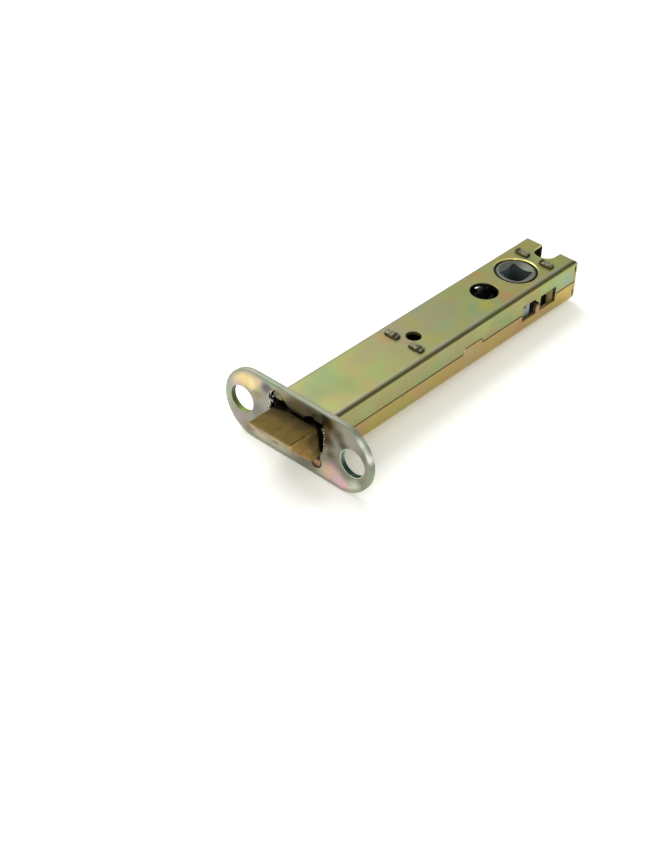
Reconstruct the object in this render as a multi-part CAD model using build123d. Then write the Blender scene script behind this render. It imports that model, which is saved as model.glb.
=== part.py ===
from build123d import *
import math
import os

# A tubular mortice door latch, in millimetres. X runs from the forend back to the rear end,
# Y across the case and Z up through the spindle. The origin is the middle of the forend's face.

# Forend
FOREND_LENGTH = 60.0
FOREND_WIDTH = 24.7
FOREND_THICK = 1.8
FOREND_EDGE_R = 0.5
SCREW_HOLE_R = 4.7
SCREW_INSET = 7.4
LOBE_HOLE_R = 2.5
LOBE_HOLE_Y = 8.2
LOBE_HOLE_RISE = 1.7
LOBE_HOLE_DROP = 0.2
OPENING_TOP_GAP = 0.9
OPENING_LOW_GAP = 0.5
OPENING_LIP_HALF = 2.9
OPENING_LIP_RISE = 2.2
OPENING_LIP_REACH = 5.6
OPENING_LIP_STEP = 0.7
OPENING_CORNER_R = 1.6
OPENING_SIDE_INSET = 0.9
STAKE_SLOT_HEIGHT = 7.9
STAKE_SLOT_BELOW_TOP = 2.55

# Case, two folded halves that meet along the sides
CASE_LENGTH = 128.6
CASE_WIDTH = 21.6
CASE_HEIGHT = 15.7
SHEET = 1.2
BEND_R = 1.7
SEAM_Z = -0.5
SEAM_GAP = 0.2
PIERCED_EDGE_R = 0.35
STAKE_RECESS = 1.2
EAR_GAP = 0.3
EAR_BEND_R = 1.0
FOLD_GAP = 0.15
FOLD_RELIEF = 0.8
FOLD_RELIEF_LOW_Z = 3.6
FOLD_RELIEF_TOP_Z = 5.6
SEAM_TAB_X = 67.4
SEAM_TAB_LENGTH = 10.2
SEAM_TAB_HEIGHT = 1.8
SEAM_TAB_SLOPE = 0.9
SMALL_HOLE_X = 54.6
SMALL_HOLE_R = 2.6

# Follower, which the 8 mm spindle turns
FOLLOWER_FROM_END = 20.5
SPINDLE = 8.0
SPINDLE_CORNER_R = 0.4
JOURNAL_R = 7.3
JOURNAL_CLEARANCE = 0.07
FACE_R = 6.65
FACE_RECESS = 0.2
FACE_SHOULDER = 0.5
DISH_R = 6.1
DISH_LOW_R = 3.7
DISH_DEPTH = 1.3
FLANGE_R = 8.4
FLANGE_THICK = 0.8
LOBE_SIDE_GAP = 0.2
LOBE_LEAD = 40.0
LOBE_SPAN = 20.0
LOBE_UNDERCUT = 13.0
LOBE_THICK = 3.8
LOBE_TOP_GAP = 0.5
WASHER_THICK = 0.4
WASHER_PLAY = 0.15
WASHER_CLEARANCE = 0.1
FOLLOWER_TURN = 80.0

# Through bolt holes on each side of the follower
THROUGH_OFFSET = 17.2
THROUGH_R = 4.65
NOTCH_OFFSET = 16.7
NOTCH_R = 4.1

# Side windows beside the follower, as offsets from its axis
WINDOW_LOW_Z = -3.2
FRONT_WINDOW_TOP_Z = 2.8
REAR_WINDOW_TOP_Z = 2.55
FRONT_WINDOW_START = -9.1
FRONT_WINDOW_SHOULDER = -2.9
POST_START = -1.6
POST_END = 0.6
TONGUE_START = -0.1
TONGUE_END = 0.6
POST_TOP_Z = 0.05
REAR_WINDOW_END = 9.1

# Bulkheads, which are staked through both halves
BULKHEAD_THICK = 1.8
MID_BULKHEAD_X = 49.1
REAR_BULKHEAD_OFFSET = 9.2
BULKHEAD_CLEARANCE = 0.1
TAB_SPACING = 10.0
TAB_LENGTH = 4.8
TAB_CLEARANCE = 0.2
TAB_PROUD = 1.1
TAB_HEAD_GAP = 0.04
TAB_HEAD_SPREAD = 0.45
TAB_HEAD_END_SPREAD = 0.15
TAB_HEAD_CORNER_R = 0.7
TAB_HEAD_EDGE_R = 0.45
CREASE_DEPTH = 0.75
CREASE_HALF_WIDTH = 0.6
MID_CREASE_Y = -1.3
REAR_CREASE_Y = 1.7
REAR_WINDOW_IN_PLATE_Y = 7.2
REAR_WINDOW_IN_PLATE_Z = 4.6

# Latch bolt
BOLT_WIDTH = 16.8
BOLT_TOP_GAP = 1.15
BOLT_LOW_GAP = 0.25
BOLT_THROW = 12.1
BOLT_BACK_X = 8.0
BOLT_NOSE_HEIGHT = 2.3
BOLT_NOSE_RAKE = 0.8
BOLT_EDGE_R = 0.35
BOLT_GUIDE_LENGTH = 3.5
BOLT_GUIDE_CLEARANCE = 0.2
BOLT_PUSH = 12.1

# Tail, springs and cross head share one axis, at half the bolt's height
TAIL_WIDTH = 3.2
TAIL_HEIGHT = 2.4
TAIL_HEAD_GAP = 0.95
TAIL_HEAD_LENGTH = 2.0
TAIL_FIT = 0.08
TAIL_START_X = 1.4
TAIL_PIN_X = 3.4
TAIL_PIN_R = 0.9
TAIL_PIN_RECESS = 0.3
TAIL_PIN_LENGTH = 9.5
HEAD_GAP = 0.1
BOLT_SPRING_WIRE = 0.9
BOLT_SPRING_TURNS = 6.5
BOLT_SPRING_GAP = 0.3
SPRING_POCKET_DEPTH = 3.0
SPRING_POCKET_WALL = 1.35
LEVER_SPRING_WIRE = 1.3
LEVER_SPRING_TURNS = 6.5
LEVER_SPRING_GAP = 0.2
SPRING_END_GAP = 0.05
CROSS_HEAD_X = 26.0
CROSS_HEAD_THICK = 1.8
CROSS_HEAD_LOW_GAP = 0.4
CROSS_HEAD_SIDE_GAP = 0.25
CROSS_SLOT_GAP = 0.5
CUP_SHEET = 0.5
CUP_COLLAR_GAP = 0.15
CUP_COLLAR_LENGTH = 2.4
APERTURE_GAP = 0.1

# Draw arms and drive shoes
ARM_THICK = 1.2
ARM_SIDE_GAP = 0.2
ARM_LOW_GAP = 1.65
ARM_HEIGHT = 5.8
ARM_NECK_HEIGHT = 4.0
ARM_TENON_HEIGHT = 2.0
ARM_TENON_PROUD = 0.4
ARM_FIT = 0.1
ARM_SHOULDER_GAP = 0.1
ARM_END_OFFSET = -9.3
NECK_GAP = 0.2
SHOE_TONGUE_THICK = 1.2
SHOE_INNER_GAP = 0.3
SHOE_HOOK_GAP = 0.25
SHOE_EDGE_INSET = 0.4
SHOE_LOW_INSET = 0.8
SHOE_HOOK_TOP_GAP = 0.3
SHOE_TONGUE_LENGTH = 7.0
SHOE_CORNER_R = 0.5
DRIVE_GAP = 0.3
REAR_STOP_GAP = 0.25
RIVET_R = 1.1
RIVET_FIT = 0.02
RIVET_HEAD_R = 1.9
RIVET_HEAD = 0.8
RIVET_FROM_END = 3.6

# Places and sizes that follow from the ones above
HALF_W = CASE_WIDTH/2
HALF_H = CASE_HEIGHT/2
INNER_W = HALF_W - SHEET
INNER_H = HALF_H - SHEET
INNER_BEND_R = BEND_R - SHEET
CASE_INNER_END = CASE_LENGTH - SHEET
BACKSET = CASE_LENGTH - FOLLOWER_FROM_END
SCREW_SPACING = FOREND_LENGTH - 2*SCREW_INSET
BOLT_TOP_Z = INNER_H - BOLT_TOP_GAP
BOLT_LOW_Z = BOLT_LOW_GAP - INNER_H
AXIS_Z = (BOLT_TOP_Z + BOLT_LOW_Z)/2
OPENING_TOP_Z = BOLT_TOP_Z + OPENING_TOP_GAP
OPENING_LOW_Z = BOLT_LOW_Z - OPENING_LOW_GAP
LOBE_HOLE_TOP_Z = OPENING_TOP_Z + LOBE_HOLE_RISE
LOBE_HOLE_LOW_Z = OPENING_LOW_Z - LOBE_HOLE_DROP
STAKE_SLOT_TOP_Z = HALF_H - STAKE_SLOT_BELOW_TOP
STAKE_SLOT_LOW_Z = STAKE_SLOT_TOP_Z - STAKE_SLOT_HEIGHT
TAIL_PIN_LOW_Z = BOLT_LOW_Z + TAIL_PIN_RECESS
TAIL_PIN_TOP_Z = TAIL_PIN_LOW_Z + TAIL_PIN_LENGTH
SPRING_POCKET_R = (BOLT_TOP_Z - BOLT_LOW_Z)/2 - SPRING_POCKET_WALL
BOLT_SPRING_R = SPRING_POCKET_R - BOLT_SPRING_GAP - BOLT_SPRING_WIRE/2
CROSS_HEAD_HALF_Z = INNER_H + AXIS_Z - CROSS_HEAD_LOW_GAP
CUP_R = CROSS_HEAD_HALF_Z - LEVER_SPRING_GAP
LEVER_SPRING_R = CUP_R - LEVER_SPRING_WIRE/2
LEVER_SPRING_INNER_R = CUP_R - LEVER_SPRING_WIRE
CUP_COLLAR_R = LEVER_SPRING_INNER_R - CUP_COLLAR_GAP
TAIL_HEAD_HEIGHT = 2*(CUP_COLLAR_R - CUP_SHEET - TAIL_HEAD_GAP)
APERTURE_R = LEVER_SPRING_INNER_R - APERTURE_GAP
FLANGE_TOP_Z = INNER_H - WASHER_THICK - WASHER_PLAY
LOBE_R = INNER_W - LOBE_SIDE_GAP
LOBE_TOP_Z = FLANGE_TOP_Z - FLANGE_THICK - LOBE_TOP_GAP
LOBE_LOW_Z = LOBE_TOP_Z - LOBE_THICK
REAR_BULKHEAD_X = BACKSET + REAR_BULKHEAD_OFFSET
THROUGH_X = BACKSET - THROUGH_OFFSET
NOTCH_X = BACKSET + NOTCH_OFFSET
TOE = math.radians(LOBE_LEAD)
STROKE = LOBE_R*(math.sin(TOE) + math.sin(math.radians(FOLLOWER_TURN) - TOE))
CROSS_BACK_X = CROSS_HEAD_X + CROSS_HEAD_THICK
TAIL_HEAD_X = CROSS_BACK_X + HEAD_GAP
ARM_OUTER = INNER_W - ARM_SIDE_GAP
ARM_INNER = ARM_OUTER - ARM_THICK
SHOE_INNER = ARM_INNER - SHOE_TONGUE_THICK
HUB_R = SHOE_INNER - SHOE_INNER_GAP
ARM_LOW_Z = ARM_LOW_GAP - INNER_H
ARM_TOP_Z = ARM_LOW_Z + ARM_HEIGHT
ARM_Z = (ARM_LOW_Z + ARM_TOP_Z)/2
SHOE_LOW_Z = ARM_LOW_Z + SHOE_LOW_INSET
SHOE_TOP_Z = ARM_TOP_Z - SHOE_EDGE_INSET
SHOE_HOOK_TOP_Z = FLANGE_TOP_Z - FLANGE_THICK - SHOE_HOOK_TOP_GAP
ARM_END_X = BACKSET + ARM_END_OFFSET
HOOK_X = BACKSET - LOBE_R*math.sin(TOE) + DRIVE_GAP
SHOE_END_X = REAR_BULKHEAD_X - STROKE - REAR_STOP_GAP
HOOK_INNER = HUB_R + SHOE_HOOK_GAP
SHOE_FRONT_X = ARM_END_X - SHOE_TONGUE_LENGTH
RIVET_X = ARM_END_X - RIVET_FROM_END


def block(x0, x1, y0, y1, z0, z1):
    return Pos((x0 + x1)/2, (y0 + y1)/2, (z0 + z1)/2)*Box(x1 - x0, y1 - y0, z1 - z0)


def across(x0, x1, z0, z1, depth):
    """A block centred on the middle plane, depth to each side."""
    return block(x0, x1, -depth, depth, z0, z1)


def side_cut(points, side=0):
    """A prism through both side walls, or through one, from points in X and Z."""
    reach = CASE_WIDTH
    face = make_face(Plane.XZ*Polyline(*points, close=True))
    prism = extrude(face, reach, both=True)
    if side:
        prism = prism & block(-reach, 2*CASE_LENGTH, *sorted((0, side*2*reach)), -reach, reach)
    return prism


def rod_x(x0, x1, radius, z=AXIS_Z):
    return Pos((x0 + x1)/2, 0, z)*Rot(0, 90, 0)*Cylinder(radius, x1 - x0)


def rod_z(x, radius, z0, z1, y=0.0):
    return Pos(x, y, (z0 + z1)/2)*Cylinder(radius, z1 - z0)


def mirrored(shape):
    return mirror(shape, Plane.XZ)


def flat_face_yz(x, sketch):
    return Plane(origin=(x, 0, 0), x_dir=(0, 1, 0), z_dir=(1, 0, 0))*sketch


def forend_opening():
    """The bolt's hole: a window with a round lobe at each corner and a slot at each side.
    Its upper lip slopes up to the lobes, with a sheared step at one end."""
    half = LOBE_HOLE_Y + LOBE_HOLE_R - OPENING_SIDE_INSET
    window = Pos(0, (OPENING_TOP_Z + OPENING_LOW_Z)/2)*Rectangle(2*half, OPENING_TOP_Z - OPENING_LOW_Z)
    for y in (-LOBE_HOLE_Y, LOBE_HOLE_Y):
        window += Pos(y, LOBE_HOLE_TOP_Z)*Circle(LOBE_HOLE_R)
        window += Pos(y, LOBE_HOLE_LOW_Z)*Circle(LOBE_HOLE_R)
    slot_half = HALF_W + FOLD_GAP
    slot_mid = (STAKE_SLOT_TOP_Z + STAKE_SLOT_LOW_Z)/2
    window += Pos(0, slot_mid)*Rectangle(2*slot_half, STAKE_SLOT_TOP_Z - STAKE_SLOT_LOW_Z)
    slope_top = OPENING_TOP_Z + OPENING_LIP_RISE
    for side in (-1, 1):
        step = OPENING_LIP_STEP if side < 0 else 0
        slope = [(side*OPENING_LIP_HALF, OPENING_TOP_Z - 1), (side*OPENING_LIP_HALF, OPENING_TOP_Z + step),
                 (side*OPENING_LIP_REACH, slope_top), (side*LOBE_HOLE_Y, slope_top),
                 (side*LOBE_HOLE_Y, OPENING_TOP_Z - 1)]
        window += make_face(Polyline(*slope, close=True))
    lip = [v for v in window.vertices()
           if 0 < v.X < LOBE_HOLE_Y and abs(v.Y - OPENING_TOP_Z) < 0.01]
    return fillet(lip, OPENING_CORNER_R)


def make_forend():
    outline = SlotOverall(FOREND_LENGTH, FOREND_WIDTH)
    plate = extrude(flat_face_yz(0, outline), FOREND_THICK)
    rim = plate.edges().filter_by_position(Axis.X, -0.01, 0.01)
    plate = fillet(rim, FOREND_EDGE_R)
    holes = forend_opening()
    for y in (-SCREW_SPACING/2, SCREW_SPACING/2):
        holes += Pos(y, 0)*Circle(SCREW_HOLE_R)
    return plate - extrude(flat_face_yz(-1, holes), FOREND_THICK + 2)


def case_form(inset, front, rear, radius):
    """The case's outer or inner form, with its long bends and the bends of its rear end."""
    body = block(front, rear, -HALF_W + inset, HALF_W - inset, -HALF_H + inset, HALF_H - inset)
    long_edges = body.edges().filter_by(Axis.X)
    rear_edges = body.edges().filter_by(Axis.Y).filter_by_position(Axis.X, rear - 0.01, rear + 0.01)
    return fillet(long_edges + rear_edges, radius)


def stake_tenons():
    """The wall ends that reach into the forend's side slots, where they are staked."""
    low = STAKE_SLOT_LOW_Z + FOLD_GAP
    top = STAKE_SLOT_TOP_Z - FOLD_GAP
    tenon = block(STAKE_RECESS, FOREND_THICK, INNER_W, HALF_W, low, top)
    return tenon + mirrored(tenon)


def ears():
    """Rounded tongues bent outward from both broad faces, which stand in the forend's lobes."""
    front = FOREND_THICK - SHEET
    radius = LOBE_HOLE_R - EAR_GAP
    tongues = []
    for side, z in ((1, LOBE_HOLE_TOP_Z), (-1, LOBE_HOLE_LOW_Z)):
        low, top = sorted((side*INNER_H, side*FOREND_WIDTH))
        for y in (-LOBE_HOLE_Y, LOBE_HOLE_Y):
            disc = Pos(front + SHEET/2, y, z)*Rot(0, 90, 0)*Cylinder(radius, SHEET)
            tongue = disc & block(front, FOREND_THICK, y - radius, y + radius, low, top)
            bend = tongue.edges().filter_by(Axis.Y).sort_by(Axis.X)[0]
            tongues.append(fillet(bend, EAR_BEND_R))
    return tongues


def pierced_hole(x, radius):
    """A hole through both broad faces whose outer edges are rolled over by the punch."""
    reach = CASE_HEIGHT
    cut = rod_z(x, radius, -reach, reach)
    flare = radius + PIERCED_EDGE_R
    for side in (-1, 1):
        face_z = side*HALF_H
        ring = Pos(x, 0, face_z)*Cylinder(flare, 2*PIERCED_EDGE_R)
        roll = Pos(x, 0, face_z - side*PIERCED_EDGE_R)*Torus(flare, PIERCED_EDGE_R)
        cut += ring - roll
    return cut


def through_holes():
    reach = CASE_HEIGHT
    cuts = pierced_hole(THROUGH_X, THROUGH_R)
    cuts += pierced_hole(BACKSET, JOURNAL_R + JOURNAL_CLEARANCE)
    cuts += rod_z(NOTCH_X, NOTCH_R, -reach, reach)
    cuts += block(NOTCH_X, CASE_LENGTH + 1, -NOTCH_R, NOTCH_R, -reach, reach)
    return cuts


def tab_slots():
    """The slots in both broad faces that the bulkheads' tabs pass through."""
    cuts = None
    for x in (MID_BULKHEAD_X, REAR_BULKHEAD_X):
        for y in (-TAB_SPACING/2, TAB_SPACING/2):
            half = TAB_LENGTH/2 + TAB_CLEARANCE
            slot = block(x - TAB_CLEARANCE, x + BULKHEAD_THICK + TAB_CLEARANCE,
                         y - half, y + half, -CASE_HEIGHT, CASE_HEIGHT)
            cuts = slot if cuts is None else cuts + slot
    return cuts


def fold_slots(top_sign):
    """The gap between a rear flange and the side walls that it is folded against."""
    cuts = None
    low, top = sorted((SEAM_Z - SHEET*top_sign, top_sign*(HALF_H - BEND_R)))
    relief_low, relief_top = sorted((top_sign*FOLD_RELIEF_LOW_Z, top_sign*FOLD_RELIEF_TOP_Z))
    gap = block(CASE_INNER_END - FOLD_GAP, CASE_INNER_END, INNER_W - 1, HALF_W + 1, low, top)
    relief = block(CASE_INNER_END - FOLD_GAP, CASE_INNER_END - FOLD_GAP + FOLD_RELIEF,
                   INNER_W - 1, HALF_W + 1, relief_low, relief_top)
    cuts = gap + relief
    return cuts + mirrored(cuts)


def seam_tab(grow):
    """The raised step of the lower half's walls, or with grow its recess in the upper half."""
    x0 = SEAM_TAB_X - grow
    x1 = SEAM_TAB_X + SEAM_TAB_LENGTH + grow
    low = SEAM_Z - SEAM_GAP
    top = SEAM_Z + SEAM_TAB_HEIGHT + grow/2
    slope = SEAM_TAB_SLOPE
    return side_cut([(x0, low), (x0 + slope, top), (x1 - slope, top), (x1, low)])


def upper_windows():
    front = BACKSET + FRONT_WINDOW_START
    shoulder = BACKSET + FRONT_WINDOW_SHOULDER
    tongue = BACKSET + TONGUE_START
    low = WINDOW_LOW_Z
    front_window = side_cut([(front, low), (front, FRONT_WINDOW_TOP_Z), (shoulder, FRONT_WINDOW_TOP_Z),
                             (tongue, POST_TOP_Z + SEAM_GAP), (tongue, low)])
    rear_start = BACKSET + TONGUE_END
    rear_end = BACKSET + REAR_WINDOW_END
    rear_window = side_cut([(rear_start, low), (rear_start, REAR_WINDOW_TOP_Z),
                            (rear_end, REAR_WINDOW_TOP_Z), (rear_end, low)])
    tongue_end = side_cut([(tongue - 1, low), (tongue - 1, POST_TOP_Z + SEAM_GAP),
                           (rear_start + 1, POST_TOP_Z + SEAM_GAP), (rear_start + 1, low)])
    return front_window + rear_window + tongue_end


def lower_windows():
    low = WINDOW_LOW_Z
    high = HALF_H
    front_window = across(BACKSET + FRONT_WINDOW_START, BACKSET + POST_START, low, high, CASE_WIDTH)
    rear_window = across(BACKSET + POST_END, BACKSET + REAR_WINDOW_END, low, high, CASE_WIDTH)
    return front_window + rear_window


def make_case():
    """Both halves, cut from one folded form so that their walls line up."""
    outer = case_form(0, FOREND_THICK, CASE_LENGTH, BEND_R)
    inner = case_form(SHEET, FOREND_THICK - 1, CASE_INNER_END, INNER_BEND_R)
    shell = outer - inner + stake_tenons() + ears() - through_holes() - tab_slots()
    reach = 2*CASE_WIDTH
    above = block(-1, CASE_LENGTH + 1, -reach, reach, SEAM_Z + SEAM_GAP/2, reach)
    below = block(-1, CASE_LENGTH + 1, -reach, reach, -reach, SEAM_Z - SEAM_GAP/2)
    walls = (block(FOREND_THICK, CASE_INNER_END, INNER_W, HALF_W, -HALF_H, HALF_H)
             + block(FOREND_THICK, CASE_INNER_END, -HALF_W, -INNER_W, -HALF_H, HALF_H))
    post = across(BACKSET + POST_START, BACKSET + POST_END, SEAM_Z - 1, POST_TOP_Z, reach) & walls
    upper = shell & above
    upper = upper - seam_tab(SEAM_GAP) - upper_windows() - fold_slots(1)
    upper -= rod_z(SMALL_HOLE_X, SMALL_HOLE_R, 0, CASE_HEIGHT)
    lower = (shell & below) + (seam_tab(0) & walls)
    lower = lower - lower_windows() - fold_slots(-1) + post
    return upper, lower


def staked_head(x, y, crease_y):
    """The peened end of one tab: wider than its slot, with the crease that the chisel left."""
    half = TAB_LENGTH/2 + TAB_HEAD_END_SPREAD
    top = HALF_H + TAB_PROUD
    head = block(x - TAB_HEAD_SPREAD, x + BULKHEAD_THICK + TAB_HEAD_SPREAD, y - half, y + half,
                 HALF_H + TAB_HEAD_GAP, top)
    head = fillet(head.edges().filter_by(Axis.Z), TAB_HEAD_CORNER_R)
    head = fillet(head.faces().sort_by(Axis.Z)[-1].edges(), TAB_HEAD_EDGE_R)
    middle = y + crease_y
    crease = make_face(Plane.YZ*Polyline((middle - CREASE_HALF_WIDTH, top), (middle, top - CREASE_DEPTH),
                                         (middle + CREASE_HALF_WIDTH, top), close=True))
    return head - Pos(x - 1, 0, 0)*extrude(crease, BULKHEAD_THICK + 2)


def staked_tabs(x, crease_y):
    """Four tabs of one bulkhead, which pass through the case and are peened over outside it."""
    reach = HALF_H + TAB_HEAD_GAP
    tabs = []
    for y in (-TAB_SPACING/2, TAB_SPACING/2):
        head = staked_head(x, y, crease_y)
        tabs.append(block(x, x + BULKHEAD_THICK, y - TAB_LENGTH/2, y + TAB_LENGTH/2, -reach, reach))
        tabs += [head, mirror(head, Plane.XY)]
    return tabs


def bulkhead_plate(x, crease_y):
    half_w = INNER_W - BULKHEAD_CLEARANCE
    half_h = INNER_H - BULKHEAD_CLEARANCE
    plate = across(x, x + BULKHEAD_THICK, -half_h, half_h, half_w)
    return fillet(plate.edges().filter_by(Axis.X), INNER_BEND_R) + staked_tabs(x, crease_y)


def make_mid_bulkhead():
    plate = bulkhead_plate(MID_BULKHEAD_X, MID_CREASE_Y)
    plate -= rod_x(MID_BULKHEAD_X - 1, MID_BULKHEAD_X + BULKHEAD_THICK + 1, APERTURE_R)
    half_neck = ARM_NECK_HEIGHT/2 + NECK_GAP
    notch = block(MID_BULKHEAD_X - 1, MID_BULKHEAD_X + BULKHEAD_THICK + 1, ARM_INNER - NECK_GAP,
                  INNER_W + 1, ARM_Z - half_neck, ARM_Z + half_neck)
    return plate - notch - mirrored(notch)


def make_rear_bulkhead():
    plate = bulkhead_plate(REAR_BULKHEAD_X, REAR_CREASE_Y)
    window = across(REAR_BULKHEAD_X - 1, REAR_BULKHEAD_X + BULKHEAD_THICK + 1,
                    -REAR_WINDOW_IN_PLATE_Z, REAR_WINDOW_IN_PLATE_Z, REAR_WINDOW_IN_PLATE_Y)
    window = fillet(window.edges().filter_by(Axis.X), SHEET)
    return plate - window


def lobe():
    """One lobe of the follower. Its driving corner leads by the toe angle at rest."""
    def at(radius, degrees):
        angle = math.radians(degrees)
        return (BACKSET - radius*math.sin(angle), -radius*math.cos(angle))
    tip = at(LOBE_R, LOBE_LEAD)
    tip_far = at(LOBE_R, LOBE_LEAD + LOBE_SPAN)
    middle = at(LOBE_R, LOBE_LEAD + LOBE_SPAN/2)
    flank = math.radians(LOBE_LEAD - LOBE_UNDERCUT)
    run = LOBE_R
    root = (tip[0] + run*math.sin(flank), tip[1] + run*math.cos(flank))
    outline = [Line(root, tip), ThreePointArc(tip, middle, tip_far), Line(tip_far, (BACKSET, 0)),
               Line((BACKSET, 0), root)]
    wedge = extrude(Pos(0, 0, LOBE_LOW_Z)*make_face(Curve() + outline), LOBE_TOP_Z - LOBE_LOW_Z)
    return wedge & rod_z(BACKSET, LOBE_R, LOBE_LOW_Z, LOBE_TOP_Z)


def make_follower():
    face_z = HALF_H - FACE_RECESS
    shoulder_z = face_z - FACE_SHOULDER
    profile = [(0, -face_z), (FACE_R, -face_z), (FACE_R, -shoulder_z), (JOURNAL_R, -shoulder_z),
               (JOURNAL_R, -FLANGE_TOP_Z), (FLANGE_R, -FLANGE_TOP_Z), (FLANGE_R, FLANGE_THICK - FLANGE_TOP_Z),
               (HUB_R, FLANGE_THICK - FLANGE_TOP_Z), (HUB_R, FLANGE_TOP_Z - FLANGE_THICK),
               (FLANGE_R, FLANGE_TOP_Z - FLANGE_THICK), (FLANGE_R, FLANGE_TOP_Z), (JOURNAL_R, FLANGE_TOP_Z),
               (JOURNAL_R, shoulder_z), (FACE_R, shoulder_z), (FACE_R, face_z), (0, face_z)]
    section = make_face(Plane.XZ*Polyline(*profile, close=True))
    body = Pos(BACKSET, 0, 0)*revolve(section, Axis.Z)
    first = lobe()
    body = body + first + mirrored(first)
    square = RectangleRounded(SPINDLE, SPINDLE, SPINDLE_CORNER_R)
    hole = extrude(Pos(BACKSET, 0, -HALF_H - 1)*square, CASE_HEIGHT + 2)
    dish = Pos(BACKSET, 0, face_z - DISH_DEPTH/2)*Cone(DISH_LOW_R, DISH_R, DISH_DEPTH)
    return body - hole - dish - mirror(dish, Plane.XY)


def make_washer(side):
    inner = JOURNAL_R + WASHER_CLEARANCE
    z0 = FLANGE_TOP_Z + (INNER_H - FLANGE_TOP_Z - WASHER_THICK)/2
    low, top = sorted((side*z0, side*(z0 + WASHER_THICK)))
    return rod_z(BACKSET, FLANGE_R, low, top) - rod_z(BACKSET, inner, low - 1, top + 1)


def make_bolt():
    """The latch bolt: flat on top, bevelled underneath, with a guide shoulder at its back."""
    rounding = BOLT_EDGE_R/math.tan(math.atan2(BOLT_NOSE_HEIGHT, BOLT_NOSE_RAKE)/2) - BOLT_EDGE_R
    tip = -BOLT_THROW - rounding
    nose_x = tip + BOLT_NOSE_RAKE
    nose_z = BOLT_TOP_Z - BOLT_NOSE_HEIGHT
    bevel_end = nose_x + nose_z - BOLT_LOW_Z
    side = [(tip, BOLT_TOP_Z), (BOLT_BACK_X, BOLT_TOP_Z), (BOLT_BACK_X, BOLT_LOW_Z),
            (bevel_end, BOLT_LOW_Z), (nose_x, nose_z)]
    head = extrude(make_face(Plane.XZ*Polyline(*side, close=True)), BOLT_WIDTH/2, both=True)
    outer_edges = head.edges().filter_by_position(Axis.X, tip - 1, BOLT_BACK_X - 1)
    head = fillet(outer_edges, BOLT_EDGE_R)
    guide = across(BOLT_BACK_X - BOLT_GUIDE_LENGTH, BOLT_BACK_X, -INNER_H + BOLT_GUIDE_CLEARANCE,
                   INNER_H - BOLT_GUIDE_CLEARANCE, INNER_W - BOLT_GUIDE_CLEARANCE)
    guide = fillet(guide.edges().filter_by(Axis.X), INNER_BEND_R)
    head += guide
    head -= rod_x(BOLT_BACK_X - SPRING_POCKET_DEPTH, BOLT_BACK_X + 1, SPRING_POCKET_R)
    head -= across(TAIL_START_X - TAIL_FIT, BOLT_BACK_X, AXIS_Z - TAIL_HEIGHT/2 - TAIL_FIT,
                   AXIS_Z + TAIL_HEIGHT/2 + TAIL_FIT, TAIL_WIDTH/2 + TAIL_FIT)
    return head - rod_z(TAIL_PIN_X, TAIL_PIN_R + RIVET_FIT, BOLT_LOW_Z - 1, TAIL_PIN_TOP_Z + TAIL_FIT)


def make_tail():
    """The strip that joins the bolt to the cross head, with a head that the cross head pulls."""
    half = TAIL_HEIGHT/2
    head_half = TAIL_HEAD_HEIGHT/2
    tail = across(TAIL_START_X, TAIL_HEAD_X + TAIL_HEAD_LENGTH, AXIS_Z - half, AXIS_Z + half, TAIL_WIDTH/2)
    tail += across(TAIL_HEAD_X, TAIL_HEAD_X + TAIL_HEAD_LENGTH, AXIS_Z - head_half,
                   AXIS_Z + head_half, TAIL_WIDTH/2)
    return tail - rod_z(TAIL_PIN_X, TAIL_PIN_R + RIVET_FIT, -HALF_H, HALF_H)


def make_tail_pin():
    return rod_z(TAIL_PIN_X, TAIL_PIN_R, TAIL_PIN_LOW_Z, TAIL_PIN_TOP_Z)


def make_spring(x0, x1, radius, wire, turns):
    """A round wire helix between two seats, along the tail's axis."""
    start = x0 + wire/2 + SPRING_END_GAP
    length = x1 - x0 - wire - 2*SPRING_END_GAP
    path = Helix(pitch=length/turns, height=length, radius=radius)
    section = Plane(origin=path @ 0, z_dir=path % 0)*Circle(wire/2)
    coil = sweep(section, path=path, is_frenet=True)
    return Pos(start, 0, AXIS_Z)*Rot(0, 90, 0)*coil


def make_bolt_spring():
    return make_spring(BOLT_BACK_X - SPRING_POCKET_DEPTH, CROSS_HEAD_X, BOLT_SPRING_R,
                       BOLT_SPRING_WIRE, BOLT_SPRING_TURNS)


def make_lever_spring():
    return make_spring(CROSS_BACK_X + CUP_SHEET, MID_BULKHEAD_X, LEVER_SPRING_R,
                       LEVER_SPRING_WIRE, LEVER_SPRING_TURNS)


def make_spring_cup():
    flange = rod_x(CROSS_BACK_X, CROSS_BACK_X + CUP_SHEET, CUP_R)
    collar = rod_x(CROSS_BACK_X, CROSS_BACK_X + CUP_COLLAR_LENGTH, CUP_COLLAR_R)
    bore = rod_x(CROSS_BACK_X - 1, CROSS_BACK_X + CUP_COLLAR_LENGTH + 1, CUP_COLLAR_R - CUP_SHEET)
    return flange + collar - bore


def make_cross_head():
    """The plate that the draw arms pull back, with both springs seated on it."""
    x0, x1 = CROSS_HEAD_X, CROSS_BACK_X
    plate = across(x0, x1, AXIS_Z - CROSS_HEAD_HALF_Z, AXIS_Z + CROSS_HEAD_HALF_Z,
                   INNER_W - CROSS_HEAD_SIDE_GAP)
    plate = fillet(plate.edges().filter_by(Axis.X), SHEET)
    half_slot_z = TAIL_WIDTH/2 + CROSS_SLOT_GAP/2
    half_slot_y = TAIL_HEAD_HEIGHT/2 + CROSS_SLOT_GAP/2
    plate -= across(x0 - 1, x1 + 1, AXIS_Z - half_slot_z, AXIS_Z + half_slot_z, half_slot_y)
    half_tenon = ARM_TENON_HEIGHT/2 + ARM_FIT
    notch = block(x0 - 1, x1 + 1, ARM_INNER - ARM_FIT, INNER_W, ARM_Z - half_tenon, ARM_Z + half_tenon)
    return plate - notch - mirrored(notch)


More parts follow.
